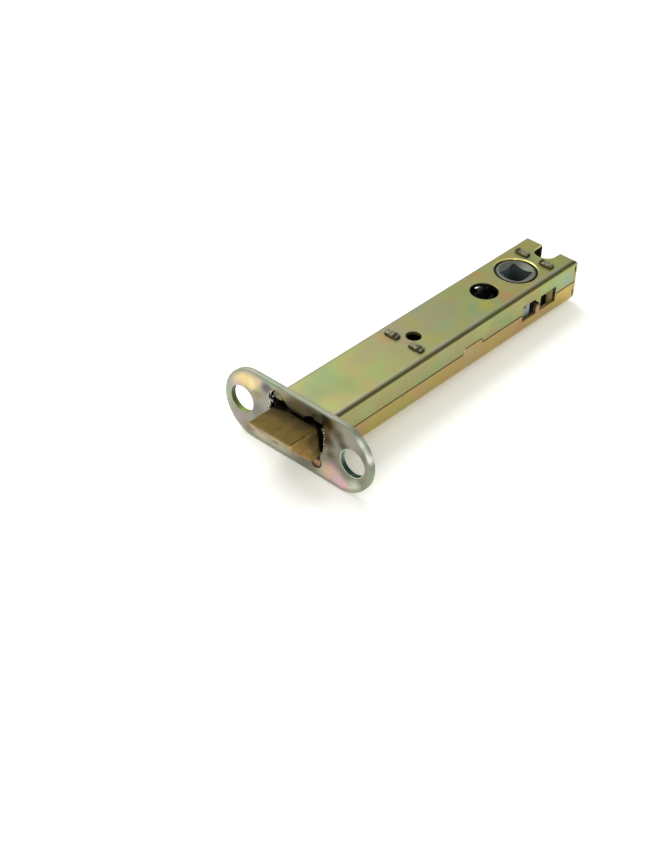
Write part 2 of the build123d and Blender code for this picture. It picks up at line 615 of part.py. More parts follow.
def make_arm():
    """The left draw arm: a strip with a tenon in front, a neck through the bulkhead and a rivet hole."""
    shoulder_x = MID_BULKHEAD_X + BULKHEAD_THICK + ARM_SHOULDER_GAP
    arm = block(shoulder_x, ARM_END_X, ARM_INNER, ARM_OUTER, ARM_LOW_Z, ARM_TOP_Z)
    arm += block(CROSS_BACK_X, shoulder_x, ARM_INNER, ARM_OUTER, ARM_Z - ARM_NECK_HEIGHT/2,
                 ARM_Z + ARM_NECK_HEIGHT/2)
    arm += block(CROSS_HEAD_X - ARM_TENON_PROUD, CROSS_BACK_X, ARM_INNER, ARM_OUTER,
                 ARM_Z - ARM_TENON_HEIGHT/2, ARM_Z + ARM_TENON_HEIGHT/2)
    return arm - rivet_shank(RIVET_R + RIVET_FIT, ARM_INNER - 1, ARM_OUTER + 1)


def rivet_shank(radius, y0, y1):
    z = (SHOE_LOW_Z + SHOE_TOP_Z)/2
    return Pos(RIVET_X, (y0 + y1)/2, z)*Rot(90, 0, 0)*Cylinder(radius, y1 - y0)


def rivet_form(grow):
    """A rivet through shoe and arm, countersunk in the shoe, or with grow the hole that it fills."""
    z = (SHOE_LOW_Z + SHOE_TOP_Z)/2
    cone = Cone(RIVET_R + grow, RIVET_HEAD_R + grow, RIVET_HEAD)
    head = Pos(RIVET_X, SHOE_INNER + RIVET_HEAD/2, z)*Rot(90, 0, 0)*cone
    return rivet_shank(RIVET_R + grow, SHOE_INNER, ARM_OUTER) + head


def make_shoe():
    """The left drive shoe: a tongue riveted inside the arm, a base and the hook that a lobe drives."""
    tongue = block(SHOE_FRONT_X, ARM_END_X + ARM_FIT, SHOE_INNER, ARM_INNER, SHOE_LOW_Z, SHOE_TOP_Z)
    base = block(ARM_END_X + ARM_FIT, SHOE_END_X, SHOE_INNER, ARM_OUTER, SHOE_LOW_Z, SHOE_TOP_Z)
    hook = block(HOOK_X, SHOE_END_X, HOOK_INNER, ARM_OUTER, SHOE_LOW_Z, SHOE_HOOK_TOP_Z)
    body = base + hook
    back_corner = (body.edges().filter_by(Axis.Z)
                   .filter_by_position(Axis.X, SHOE_END_X - 0.01, SHOE_END_X + 0.01))
    body = fillet(back_corner, SHOE_CORNER_R)
    return tongue + body - rivet_form(RIVET_FIT)


def build():
    upper_case, lower_case = make_case()
    left_arm = make_arm()
    left_shoe = make_shoe()
    left_rivet = rivet_form(0)
    return {
        "forend_plate": make_forend(),
        "upper_case": upper_case,
        "lower_case": lower_case,
        "mid_bulkhead": make_mid_bulkhead(),
        "rear_bulkhead": make_rear_bulkhead(),
        "latch_bolt": make_bolt(),
        "bolt_tail": make_tail(),
        "tail_pin": make_tail_pin(),
        "bolt_spring": make_bolt_spring(),
        "lever_spring": make_lever_spring(),
        "spring_cup": make_spring_cup(),
        "cross_head": make_cross_head(),
        "left_arm": left_arm,
        "right_arm": mirrored(left_arm),
        "left_shoe": left_shoe,
        "right_shoe": mirrored(left_shoe),
        "shoe_rivets": Compound(children=[left_rivet, mirrored(left_rivet)]),
        "follower": make_follower(),
        "upper_washer": make_washer(1),
        "lower_washer": make_washer(-1),
    }


os.makedirs("parts", exist_ok=True)
for name, shape in build().items():
    export_step(shape, f"parts/{name}.step")
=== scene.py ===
import math
import bmesh
import bpy
from mathutils import Matrix, Vector, noise


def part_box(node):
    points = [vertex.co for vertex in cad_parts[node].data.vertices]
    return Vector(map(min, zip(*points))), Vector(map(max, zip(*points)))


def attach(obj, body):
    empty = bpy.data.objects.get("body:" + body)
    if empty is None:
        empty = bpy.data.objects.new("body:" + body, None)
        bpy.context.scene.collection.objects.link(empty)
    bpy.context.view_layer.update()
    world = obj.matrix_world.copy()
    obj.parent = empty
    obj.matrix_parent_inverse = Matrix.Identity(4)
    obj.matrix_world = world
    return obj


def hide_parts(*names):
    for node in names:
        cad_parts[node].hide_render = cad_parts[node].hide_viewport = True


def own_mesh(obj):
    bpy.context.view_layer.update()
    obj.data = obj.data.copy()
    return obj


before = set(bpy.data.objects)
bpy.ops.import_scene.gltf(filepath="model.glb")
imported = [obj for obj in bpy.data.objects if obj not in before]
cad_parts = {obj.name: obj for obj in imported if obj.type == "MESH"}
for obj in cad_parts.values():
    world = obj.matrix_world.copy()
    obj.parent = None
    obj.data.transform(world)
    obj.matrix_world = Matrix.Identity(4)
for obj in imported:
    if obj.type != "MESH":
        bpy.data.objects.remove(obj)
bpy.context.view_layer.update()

# Lengths here are millimetres of the part's own frame, and MM turns them into Blender's metres
MM = 0.001

# Camera, fitted to the 650 by 868 photo, with its focal length in pixels
EYE = (-338.14, -296.65, 352.68)
FORWARD = (0.60103536, 0.50697573, -0.61784473)
RIGHT = (0.66851605, -0.74256605, 0.04101161)
FOCAL_PIXELS = 1889.14
FRAME_HEIGHT = 868
SENSOR = 36.0
CLIP_METRES = (0.01, 20)

# Floor: the latch lies on the forend's lower edge and on the rear bulkhead's lower tabs
FLOOR_SIZE = 3000.0
FLOOR_TOUCH_GAP = 0.02

# Sizes of the part that its boxes don't give
SHEET = 1.2
AXIS_Z = -0.45
SEAM_Z = -0.5
SEAM_STEP = 1.8
SEAM_STEP_START = 67.4
SEAM_STEP_END = 77.6
SEAM_STEP_SLOPE = 0.9
HOLE_R = 7.37
THROUGH_FROM_HOLE = 17.2
THROUGH_R = 4.65
LOBE_Y = 8.2
LOBE_R = 2.5
SCREW_Y = 22.6
SCREW_R = 4.7
FACE_R = 6.65
FOLLOWER_RECESS = 0.2

# Middles of the lobes above the bolt's top and below its underside, and how far the painted shadow
# outline of the ears is moved, because the ears stand back from the forend's face
LOBE_RISE = 2.6
LOBE_DROP = 0.7
EAR_SHADE_Y = 0.5
EAR_SHADE_Z = 0.6


def millimetres(node):
    """The lowest and highest corner of a node's box."""
    low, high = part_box(node)
    return Vector(low)/MM, Vector(high)/MM


forend_low, forend_high = millimetres("forend_plate")
rear_low, rear_high = millimetres("rear_bulkhead")
mid_low, mid_high = millimetres("mid_bulkhead")
follower_low, follower_high = millimetres("follower")
bolt_low, bolt_high = millimetres("latch_bolt")
case_high = millimetres("upper_case")[1]

HALF_W = case_high.y
HALF_H = follower_high.z + FOLLOWER_RECESS
INNER_W = HALF_W - SHEET
INNER_H = HALF_H - SHEET
BACKSET = (follower_low.x + follower_high.x)/2
THROUGH_X = BACKSET - THROUGH_FROM_HOLE
MID_X = (mid_low.x + mid_high.x)/2
LOBE_TOP_Z = bolt_high.z + LOBE_RISE
LOBE_LOW_Z = bolt_low.z - LOBE_DROP

# Values that every material shares
SOFT_SAMPLES = 6
PATCH_WARP = 0.3
FACING_RANGE = (0.4, 0.8)
OPEN_RANGE = (0.35, 0.85)
SKIN = 0.03


def linear(code):
    """A colour written as six hex digits, in the linear values that shaders take."""
    parts = [int(code[i:i + 2], 16)/255 for i in (0, 2, 4)]
    return tuple(c/12.92 if c <= 0.04045 else ((c + 0.055)/1.055)**2.4 for c in parts) + (1.0,)


class Shader:
    """Short calls for one material's node tree. Places and sizes in it are millimetres."""

    def __init__(self, name):
        self.material = bpy.data.materials.new(name)
        self.material.use_nodes = True
        self.tree = self.material.node_tree
        self.bsdf = self.tree.nodes["Principled BSDF"]
        metres = self.node("ShaderNodeTexCoord").outputs["Object"]
        self.coords = self.vector("SCALE", metres, Scale=1/MM)
        split = self.node("ShaderNodeSeparateXYZ", {0: self.coords})
        self.x, self.y, self.z = split.outputs

    def node(self, kind, inputs=None, **settings):
        made = self.tree.nodes.new(kind)
        for key, value in settings.items():
            setattr(made, key, value)
        for key, value in (inputs or {}).items():
            self.join(made.inputs[key], value)
        return made

    def join(self, socket, value):
        if isinstance(value, bpy.types.NodeSocket):
            self.tree.links.new(value, socket)
        else:
            socket.default_value = value

    def put(self, socket, value):
        self.join(self.bsdf.inputs[socket], value)

    def vector(self, operation, a, b=(0, 0, 0), **named):
        inputs = {0: a, **named} if named else {0: a, 1: b}
        return self.node("ShaderNodeVectorMath", inputs, operation=operation).outputs[0]

    def noise(self, size, stretch=(1, 1, 1), shift=(0, 0, 0), detail=3.0, distortion=0.0):
        """Noise whose patches are about size across."""
        place = self.node("ShaderNodeMapping",
                          {"Vector": self.coords, "Location": shift, "Scale": stretch})
        made = self.node("ShaderNodeTexNoise", {"Vector": place.outputs[0], "Scale": 1/size,
                                                "Detail": detail, "Distortion": distortion})
        return made.outputs["Fac"]

    def math(self, operation, a, b=0.0):
        return self.node("ShaderNodeMath", {0: a, 1: b}, operation=operation).outputs[0]

    def total(self, first, *others):
        for other in others:
            first = self.math("ADD", first, other)
        return first

    def times(self, first, *others):
        for other in others:
            first = self.math("MULTIPLY", first, other)
        return first

    def minus(self, a, b):
        return self.math("SUBTRACT", a, b)

    def larger(self, a, b):
        return self.math("MAXIMUM", a, b)

    def size_of(self, value):
        return self.math("ABSOLUTE", value)

    def scaled(self, value, low, high, from_low=0.0, from_high=1.0, smooth=False):
        """The value, moved from one range to another and held within that one."""
        made = self.node("ShaderNodeMapRange",
                         {"Value": value, "From Min": from_low, "From Max": from_high,
                          "To Min": low, "To Max": high})
        made.interpolation_type = "SMOOTHSTEP" if smooth else "LINEAR"
        return made.outputs[0]

    def ramp(self, value, stops):
        made = self.node("ShaderNodeValToRGB", {"Fac": value})
        band = made.color_ramp
        while len(band.elements) < len(stops):
            band.elements.new(0.5)
        band.interpolation = "B_SPLINE"
        for element, (place, code) in zip(band.elements, stops):
            element.position = place
            element.color = linear(code)
        return made.outputs["Color"]

    def mix(self, a, b, amount, mode="MIX"):
        made = self.node("ShaderNodeMix", {0: amount, 6: a, 7: b}, data_type="RGBA", blend_type=mode)
        return made.outputs[2]

    def shaded(self, colour, shade):
        """The colour times a grey value."""
        grey = self.node("ShaderNodeCombineColor", {0: shade, 1: shade, 2: shade}).outputs[0]
        return self.mix(colour, grey, 1.0, "MULTIPLY")

    def spot(self, place, size, soft=0.85):
        """A cloudy patch about size to each side of place: 1 in its middle and 0 outside."""
        warp = PATCH_WARP*size
        wander = self.node("ShaderNodeTexNoise",
                           {"Vector": self.coords, "Scale": 1/(3*warp), "Detail": 3.0})
        moved = self.vector("MULTIPLY_ADD", wander.outputs["Color"], (2*warp,)*3)
        self.join(moved.node.inputs[2], self.vector("SUBTRACT", self.coords, (warp,)*3))
        away = self.vector("DIVIDE", self.vector("SUBTRACT", moved, place), (size,)*3)
        far = self.node("ShaderNodeVectorMath", {0: away}, operation="LENGTH").outputs["Value"]
        return self.scaled(far, 1.0, 0.0, 1.0 - soft, 1.0, smooth=True)

    def tinted(self, colour, tints):
        """The colour with patches laid over it, each a place, a size, a colour code and a strength."""
        for place, size, code, strength in tints:
            mask = self.times(self.spot(place, size), strength)
            colour = self.mix(colour, linear(code), mask)
        return colour

    def below(self, value, limit):
        return self.math("LESS_THAN", value, limit)

    def above(self, value, limit):
        return self.math("GREATER_THAN", value, limit)

    def length(self, a, b):
        square = self.total(self.times(a, a), self.times(b, b))
        return self.math("SQRT", square)

    def band(self, value, middle, half, soft):
        """1 where the value lies within half of middle, and 0 further off than soft beyond that."""
        away = self.size_of(self.minus(value, middle))
        return self.scaled(away, 1.0, 0.0, half, half + soft, smooth=True)

    def facing(self, axis):
        """1 on surfaces that face along one axis, to either side."""
        normal = self.node("ShaderNodeNewGeometry").outputs["Normal"]
        part = self.node("ShaderNodeSeparateXYZ", {0: normal}).outputs[axis]
        return self.scaled(self.size_of(part), 0.0, 1.0, *FACING_RANGE, smooth=True)

    def inside_case(self):
        """1 within the inner height and width of the case, whatever the X, and 0 outside them.

        That takes in the outer faces of the folded rear flanges too.
        """
        narrow = self.below(self.size_of(self.y), INNER_W + SKIN)
        flat = self.below(self.size_of(self.z), INNER_H + SKIN)
        return self.times(narrow, flat)

    def painted_corner_shade(self, reach=1.0, darkest=0.3):
        """Painted shade that darkens corners and gaps within reach."""
        made = self.node("ShaderNodeAmbientOcclusion", {"Distance": reach*MM},
                         samples=SOFT_SAMPLES)
        return self.scaled(made.outputs["AO"], darkest, 1.0, *OPEN_RANGE)

    def relief(self, height, depth, edge=0.15):
        """Bump of depth on edges that are softened over edge."""
        soft = self.node("ShaderNodeBevel", {"Radius": edge*MM}, samples=SOFT_SAMPLES)
        bump = self.node("ShaderNodeBump", {"Height": height, "Distance": depth*MM,
                                            "Strength": 1.0, "Normal": soft.outputs[0]})
        self.put("Normal", bump.outputs[0])


SEAM_LINE = 0.14
SEAM_FADE = 0.3
SEAM_DARK = 0.22


def seam_shade(s):
    """Dark close to the line where the case's halves meet, which steps up in the middle."""
    up = s.scaled(s.x, 0.0, SEAM_STEP, SEAM_STEP_START, SEAM_STEP_START + SEAM_STEP_SLOPE)
    down = s.scaled(s.x, SEAM_STEP, 0.0, SEAM_STEP_END - SEAM_STEP_SLOPE, SEAM_STEP_END)
    line = s.total(s.math("MINIMUM", up, down), SEAM_Z)
    near = s.band(s.minus(s.z, line), 0.0, SEAM_LINE, SEAM_FADE)
    return s.scaled(near, 1.0, SEAM_DARK)


def from_lobe(s):
    """How far a place lies from the middle of the nearest lobe, as the ears' painted shadow outline
    sees it.
    """
    lobe_z = s.total(s.times(s.above(s.z, 0.0), LOBE_TOP_Z - LOBE_LOW_Z), LOBE_LOW_Z)
    aside = s.minus(s.size_of(s.minus(s.y, EAR_SHADE_Y)), LOBE_Y)
    return s.length(aside, s.total(s.minus(s.z, lobe_z), EAR_SHADE_Z))


# The case's film and painted light: a painted highlight round the follower's hole, painted sheen along
# the top's edges, its ears, and painted shade
HOLE_HIGHLIGHT = "F2E68C"
NEAR_SHEEN_GREY = "A0A194"
FAR_SHEEN_GREY = "8E897C"
EAR_TINT = "767258"
FILM_METALLIC = 0.85
FILM_ROUGH = (0.3, 0.42)
THROUGH_HOLE_SHADE = 0.12
BEND_DARK_REFLECTION = 0.72
EAR_OUTLINE_SHADOW = 0.06
INSIDE_SHADE = 0.1


def passivate(name, stops, tints, shift=(0, 0, 0)):
    """Zinc plate with a coloured film in cloudy patches, over the sheet's rolling marks, with painted
    light and shade.
    """
    s = Shader(name)
    broad = s.noise(9.0, stretch=(0.6, 1, 1), shift=shift, detail=2.0)
    small = s.noise(1.6, shift=shift, detail=5.0)
    speckle = s.noise(0.5, detail=4.0)
    film = s.total(s.scaled(broad, 0.12, 0.88), s.scaled(small, -0.17, 0.17),
                   s.scaled(speckle, -0.22, 0.22))
    colour = s.tinted(s.ramp(film, stops), tints)

    from_axis = s.minus(s.x, BACKSET)
    around = s.length(from_axis, s.y)
    far = s.total(s.times(from_axis, 0.8), s.times(s.y, 0.6))
    # Painted highlight: a yellow crescent on the far side of the follower's hole
    highlight_crescent = s.times(s.band(around, HOLE_R + 0.2, 0.3, 0.25), s.scaled(far, 0.0, 1.0, 1.0, 5.5))
    colour = s.mix(colour, linear(HOLE_HIGHLIGHT), highlight_crescent)

    # Painted sheen along the top's near and far edges
    top = s.above(s.z, HALF_H - 0.3)
    drift = s.scaled(s.noise(9.0, stretch=(1, 0.2, 1), detail=2.0), 0.1, 0.9, 0.35, 0.65)
    near_edge_sheen = s.times(s.band(s.y, 0.8 - HALF_W, 0.6, 1.6), s.times(top, drift))
    far_edge_sheen = s.times(s.band(s.y, HALF_W - 0.5, 0.5, 1.2), top)
    colour = s.mix(colour, linear(NEAR_SHEEN_GREY), s.times(near_edge_sheen, 0.8))
    colour = s.mix(colour, linear(FAR_SHEEN_GREY), s.times(far_edge_sheen, 0.6))
    ear = s.below(s.x, SHEET + 0.3)
    colour = s.mix(colour, linear(EAR_TINT), s.times(ear, s.above(s.z, 0.0)))

    rolled = s.noise(0.3, stretch=(0.03, 1, 1), detail=3.0)
    grain = s.noise(0.16, detail=2.0)
    from_through = s.length(s.minus(s.x, THROUGH_X), s.y)
    bend = s.times(s.facing(1), s.facing(2))
    outline_shadow = s.times(s.scaled(from_lobe(s), 0.0, 1.0, LOBE_R - 0.55, LOBE_R - 0.35), ear)
    inside = s.inside_case()
    # Painted shade in corners, round the through hole, round the ears and inside the case, and a
    # painted dark reflection along the bends
    shade = s.times(
        s.total(s.scaled(rolled, 0.92, 1.08), s.scaled(grain, -0.1, 0.1)),
        s.painted_corner_shade(),
        seam_shade(s),
        s.scaled(from_through, THROUGH_HOLE_SHADE, 1.0, THROUGH_R + 0.1, THROUGH_R + 0.4),
        s.scaled(bend, 1.0, BEND_DARK_REFLECTION, 0.35, 0.7),
        s.scaled(outline_shadow, 1.0, EAR_OUTLINE_SHADOW),
        s.scaled(inside, 1.0, INSIDE_SHADE),
    )
    s.put("Base Color", s.shaded(colour, shade))
    s.put("Metallic", s.scaled(inside, FILM_METALLIC, 0.0))
    s.put("Specular IOR Level", s.scaled(inside, 0.5, 0.0))
    s.put("Roughness", s.total(s.scaled(speckle, *FILM_ROUGH), s.scaled(inside, 0.0, 0.5),
                               s.scaled(highlight_crescent, 0.0, -0.15)))
    s.relief(s.total(grain, s.scaled(rolled, 0, 0.7)), 0.005)
    return s.material


# Patches of each finish: place, size, colour and strength
OLIVE = [(0.28, "869C6C"), (0.40, "93A166"), (0.48, "A0A160"), (0.54, "9F9A62"), (0.60, "A49666"),
         (0.70, "949B6E")]
UPPER_TINTS = [
    ((2, 1, HALF_H), 9, "80846C", 0.8),
    ((11, 3, HALF_H), 8, "7F8C64", 0.7),
    ((19, -2, HALF_H), 8, "818F5E", 0.6),
    ((18, 8, HALF_H), 6, "86926C", 0.5),
    ((31, -5, HALF_H), 7, "93A462", 0.6),
    ((24, -6, HALF_H), 4, "A49C5C", 0.5),
    ((40, 4, HALF_H), 5, "9C9A6C", 0.5),
    ((60, 9.6, HALF_H), 30, "94907C", 0.45),
    ((MID_X - 3, 6, HALF_H), 4.5, "B0905A", 0.7),
    ((MID_X + 1, 0, HALF_H), 4, "A68C68", 0.6),
    ((MID_X + 8, -5, HALF_H), 6, "A6A04C", 0.6),
    ((MID_X + 10, 5, HALF_H), 6, "A29C50", 0.5),
    ((66, -3, HALF_H), 6, "8FA070", 0.6),
    ((74, 2, HALF_H), 7, "93986C", 0.7),
    ((79, -8, HALF_H), 4, "8C9C78", 0.5),
    ((85, -5, HALF_H), 4.5, "B0A44A", 0.7),
    ((84, 6, HALF_H), 6, "9A9858", 0.6),
    ((94, -7, HALF_H), 5, "B48C58", 0.8),
    ((98, -2, HALF_H), 3.5, "A8A050", 0.5),
    ((97, 8, HALF_H), 5, "AE9450", 0.6),
    ((BACKSET - 2, -9.5, HALF_H), 6, "AC9C4C", 0.7),
    ((BACKSET + 3, 10, HALF_H), 7, "A4A048", 0.7),
    ((BACKSET + 13, -6, HALF_H), 7, "98A452", 0.8),
    ((BACKSET + 15, 8, HALF_H), 7, "A49C4C", 0.7),
    ((BACKSET + 17, -9, HALF_H), 4, "8E9C5C", 0.6),
    ((20, -HALF_W, 3), 6, "A0AA6C", 0.6),
    ((35, -HALF_W, 3), 6, "A49C6C", 0.5),
    ((58, -HALF_W, 3), 6, "98A070", 0.6),
    ((SEAM_STEP_START + 10, -HALF_W, 4), 6, "A8AC68", 0.5),
    ((96, -HALF_W, 3), 5, "A8A868", 0.6),
    ((110, -HALF_W, 5), 5, "98AC62", 0.7),
    ((119, -HALF_W, 4), 5, "8CA872", 0.8),
    ((124, -HALF_W, 2), 4, "78A088", 0.8),
]
GOLD = [(0.30, "A3A05A"), (0.40, "B0A458"), (0.48, "B6A25C"), (0.54, "B4965C"), (0.62, "BC9A60"),
        (0.70, "AEA066")]
LOWER_TINTS = [
    ((16, -HALF_W, -3), 6, "B88868", 0.7),
    ((24, -HALF_W, -6), 5, "AEA44E", 0.7),
    ((34, -HALF_W, -4), 6, "A8A456", 0.6),
    ((46, -HALF_W, -3), 6, "BC966A", 0.6),
    ((60, -HALF_W, -4), 6, "B2A258", 0.5),
    ((72, -HALF_W, -4), 6, "AEA074", 0.7),
    ((84, -HALF_W, -5), 6, "B8A45C", 0.6),
    ((98, -HALF_W, -4), 5, "B88A66", 0.7),
    ((BACKSET - 0.6, -HALF_W, -2.5), 3.2, "C08C78", 1.0),
    ((BACKSET + 3, -HALF_W, -5), 3.5, "BC9660", 0.7),
    ((122, -HALF_W, -3), 6, "C4A850", 0.8),
    ((0.6, -8.2, -8), 2.5, "B08070", 0.8),
]

upper_finish = passivate("olive_passivate", OLIVE, UPPER_TINTS)
lower_finish = passivate("gold_passivate", GOLD, LOWER_TINTS, shift=(40, 0, 20))


# Film patches on the forend's face, and painted reflections among them
FACE_FILM_AND_REFLECTIONS = [
    ((0, 27, 0), 6, "98A090", 0.8),
    ((0, 26, 5.5), 4, "BCA8A0", 0.9),
    ((0, 22.5, 8.6), 5.5, "DCC48C", 0.9),
    ((0, 18.5, 8), 4.2, "DCCB90", 0.9),
    ((0, 16.3, 10.8), 3, "D0B494", 0.7),
    ((0, 16.5, 5), 2.6, "7C7850", 0.8),
    ((0, 12.6, 9.5), 3.2, "5C5458", 0.9),
    ((0, 16, -1), 4.5, "706C62", 0.8),
    ((0, 14, -6), 3.5, "625840", 0.5),
    ((0, 24, -8), 3.5, "9C8490", 0.7),
    ((0, 19.5, -9), 2.6, "8A725C", 0.6),
    # Painted reflection of the bolt: brown patches above and right of the opening
    ((0, 6, 10), 5, "94875C", 0.9),
    ((0, 1, 10), 5, "90825A", 0.95),
    ((0, -6, 10.5), 5, "746842", 0.9),
    ((0, -12.5, 9), 3.6, "4A3C20", 0.95),
    ((0, -13, 3), 3.6, "504632", 0.9),
    ((0, -14, -1.5), 3.0, "5C5038", 0.8),
    ((0, -16.5, 7), 3.4, "4C4436", 0.85),
    ((0, -18.5, 4.5), 3, "463E3A", 0.85),
    ((0, -19.5, 10.8), 3.2, "8A8070", 0.7),
    ((0, -27, 5), 3.4, "66605C", 0.7),
    ((0, -15.5, -4.5), 2.6, "7A6672", 0.6),
    ((0, -11, -10), 5, "C4C2AA", 0.85),
    ((0, -15, -5), 3.6, "A0888C", 0.6),
    ((0, -14, -8), 5.0, "ECC8B4", 0.9),
    ((0, -18, -9.5), 5.0, "E8C8D0", 0.9),
    ((0, -20.5, -10.8), 3.6, "F0BCC4", 0.8),
    ((0, -24.5, -9), 4.6, "D8DEC8", 0.85),
    ((0, 14, -10.5), 5.5, "D0C6AC", 0.6),
    ((0, 7, -11.5), 5.5, "C8C0A4", 0.6),
    ((0, 5, -12), 8, "B0AE98", 0.85),
]
EDGE_FILM_AND_HIGHLIGHTS = [
    ((0, 29, -2), 7, "9CB494", 0.7),
    ((0, 20, 12), 5, "A8A898", 0.6),
    ((0, 11, 12), 4, "86A07C", 0.8),
    ((0, -20, 12), 5, "848C7C", 0.8),
    # Painted highlights on the rim's right side
    ((0, -26, 9.6), 3.4, "E4F0DC", 1.0),
    ((0, -28.6, 6.2), 2.6, "F0F8E8", 1.0),
    ((0, -29.5, -3), 6, "90A47C", 0.7),
]


# Painted highlights on the rim
RIM_HIGHLIGHTS = [
    ((0.5, -28.0, 8.0), 1.8, "F4F8EC", 0.5),
    ((0.5, -29.9, 5.0), 2.4, "FFFFFF", 1.0),
]
FACE_FILM = [(0.32, "868A7A"), (0.42, "8E8E80"), (0.50, "8C867A"), (0.58, "8A8278"), (0.68, "848A78")]
EDGE_FILM = [(0.38, "848E76"), (0.5, "929684"), (0.62, "8A967C")]
# The screw holes' walls, painted lighter and darker with height for the light and shade in them
LEFT_WALL = [(0.0, "8CA04C"), (0.35, "5E6C34"), (0.9, "5A5040")]
RIGHT_WALL = [(0.0, "20382C"), (0.3, "2C5442"), (0.6, "6C8878"), (0.9, "8CA898")]
LIP_HIGHLIGHT = "D8E4D4"

# A pit in the face, painted dark as shade, and the reach of the painted shade on the opening's walls
# in Y and Z
PIT_Y = 10.8
PIT_Z = 7.0
PIT_SHADE = 0.08
OPENING_Y = HALF_W + 1.2
OPENING_Z = forend_high.z - 1.4
OPENING_FADE = 1.2
OPENING_SHADE = 0.06


def painted_opening_shade(s):
    """Where painted shade goes: 1 behind the face within the opening's reach, as far back as the
    forend goes.

    That takes in the forend's back face round the case too.
    """
    return s.times(
        s.below(s.size_of(s.y), OPENING_Y),
        s.below(s.size_of(s.z), OPENING_Z),
        s.scaled(s.x, 0.0, 1.0, 0.03, 0.15),
        s.scaled(s.z, 0.0, 1.0, LOBE_LOW_Z - OPENING_FADE, LOBE_LOW_Z),
    )


def plated_forend():
    """Bright zinc with a thin pale film, greenish along its rolled edge, with a painted reflection of
    the bolt in brown round it, painted highlights and painted shade.
    """
    s = Shader("pale_passivate")
    cloud = s.noise(5.0, detail=4.0, distortion=0.4)
    fine = s.noise(0.7, detail=3.0)
    film = s.total(cloud, s.scaled(fine, -0.08, 0.08))
    colour = s.tinted(s.ramp(film, FACE_FILM), FACE_FILM_AND_REFLECTIONS)

    past = s.larger(s.minus(s.size_of(s.y), forend_high.y - forend_high.z), 0.0)
    from_edge = s.minus(forend_high.z, s.length(past, s.z))
    edge = s.scaled(from_edge, 1.0, 0.0, 0.5, 2.2, smooth=True)
    pale = s.tinted(s.ramp(s.noise(3.0, detail=3.0), EDGE_FILM), EDGE_FILM_AND_HIGHLIGHTS)
    colour = s.mix(colour, pale, s.times(edge, 0.75))
    colour = s.tinted(colour, RIM_HIGHLIGHTS)

    from_hole = s.length(s.minus(s.size_of(s.y), SCREW_Y), s.z)
    wall = s.times(s.below(from_hole, SCREW_R + 0.02), s.scaled(s.x, 0.0, 1.0, 0.02, 0.12))
    height = s.scaled(s.z, 0.0, 1.0, -5.0, 4.0)
    side = s.mix(s.ramp(height, RIGHT_WALL), s.ramp(height, LEFT_WALL), s.above(s.y, 0.0))
    colour = s.mix(colour, side, wall)
    # Painted highlight along the lip of the screw hole on the -Y side
    lip = s.times(s.band(from_hole, SCREW_R + 0.05, 0.12, 0.15), s.below(s.y, 0.0), s.below(s.x, 0.03))
    colour = s.mix(colour, linear(LIP_HIGHLIGHT), s.times(lip, 0.7))

    lines = s.noise(0.25, stretch=(1, 0.05, 1), detail=3.0)
    grain = s.noise(0.2, detail=2.0)
    pit = s.times(s.band(s.y, PIT_Y, 0.6, 0.25), s.band(s.z, PIT_Z, 0.7, 0.25))
    shaded_opening = painted_opening_shade(s)
    # Painted shade in corners, in the pit and on the opening's walls
    shade = s.times(
        s.total(s.scaled(lines, 0.95, 1.05), s.scaled(grain, -0.04, 0.04)),
        s.painted_corner_shade(0.8, 0.4),
        s.scaled(pit, 1.0, PIT_SHADE),
        s.scaled(shaded_opening, 1.0, OPENING_SHADE),
    )
    s.put("Base Color", s.shaded(colour, shade))

    above_bolt = s.times(s.band(s.y, 0.0, 7.5, 3.0), s.band(s.z, 9.6, 1.6, 1.2))
    rim = s.larger(s.scaled(s.x, 0.0, 1.0, 0.02, 0.4), wall)
    rim = s.larger(rim, s.scaled(from_edge, 1.0, 0.0, 0.4, 0.8))
    rim = s.larger(rim, s.times(above_bolt, 0.6))
    s.put("Metallic", s.times(s.scaled(rim, 1.0, 0.55), s.scaled(shaded_opening, 1.0, 0.0)))
    s.put("Specular IOR Level", s.scaled(shaded_opening, 0.5, 0.0))
    s.put("Roughness", s.total(s.scaled(cloud, 0.2, 0.32), s.scaled(rim, 0.0, 0.25)))
    s.relief(s.total(grain, s.scaled(lines, 0, 0.5)), 0.004, edge=0.35)
    return s.material


forend_finish = plated_forend()


# Brass of the bolt's faces, painted darker on top and lighter on the sides and nose for how light
# falls on them
SHADED_TOP_BRASS = [(0.3, "4A3E1E"), (0.45, "544622"), (0.58, "5C4C24"), (0.7, "54421C")]
LIT_SIDE_BRASS = [(0.3, "8E7A48"), (0.45, "AA9258"), (0.6, "BEA462"), (0.7, "9C8650")]
LIT_NOSE_BRASS = [(0.3, "80704A"), (0.5, "988660"), (0.7, "887650")]
RIDGE_HIGHLIGHT_BRASS = "A88C54"
TIP_WEAR_AND_HIGHLIGHT = "8C7440"
BOLT_SIDE_Y = 8.4
BOLT_TONES_AND_LIGHT = [
    # Painted highlight on the top's rear corner
    ((-2.5, -7.6, bolt_high.z), 2.2, "8C702C", 0.7),
    ((-9.0, -BOLT_SIDE_Y, -1.0), 3.0, "A87C30", 0.7),
    # Painted shade on the side next to the forend
    ((-2.0, -BOLT_SIDE_Y, 2.6), 4.2, "4A3A1A", 0.65),
    ((-10.5, 4.0, bolt_high.z), 5.0, "544C20", 0.5),
]
DENT = (-1.1, 0.6, bolt_high.z - 1.0)
DENT_R = 1.1


